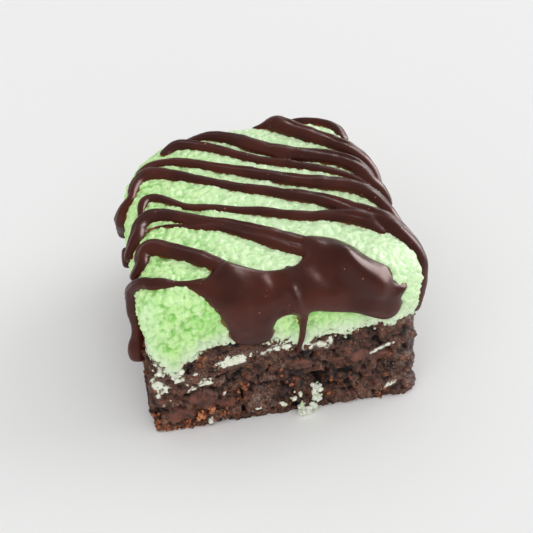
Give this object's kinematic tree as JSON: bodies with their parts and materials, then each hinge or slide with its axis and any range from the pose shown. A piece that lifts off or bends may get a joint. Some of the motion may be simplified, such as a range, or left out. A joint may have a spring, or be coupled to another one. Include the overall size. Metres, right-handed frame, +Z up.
{
  "type": "mint-layered chocolate brownie square",
  "caption": "Square of chocolate brownie under a thick mint cream layer, with poured chocolate strands, a pool and drips over the top.",
  "frame": {"origin": "middle of the flat underside, on the surface that the square rests on", "axes": "+Z up, -Y towards the cut front face that shows the brownie and the mint, +X to the right of that face"},
  "size_m": [0.0592, 0.0587, 0.0359],
  "materials": {
    "brownie": "dark, moist, crumbly baked brownie",
    "mint": "soft pale green cream with sugary grains",
    "chocolate": "satin set dark chocolate"
  },
  "bodies": {
    "root": {"brownie_base": "brownie", "mint_layer": "mint"}
  },
  "joints": []
}
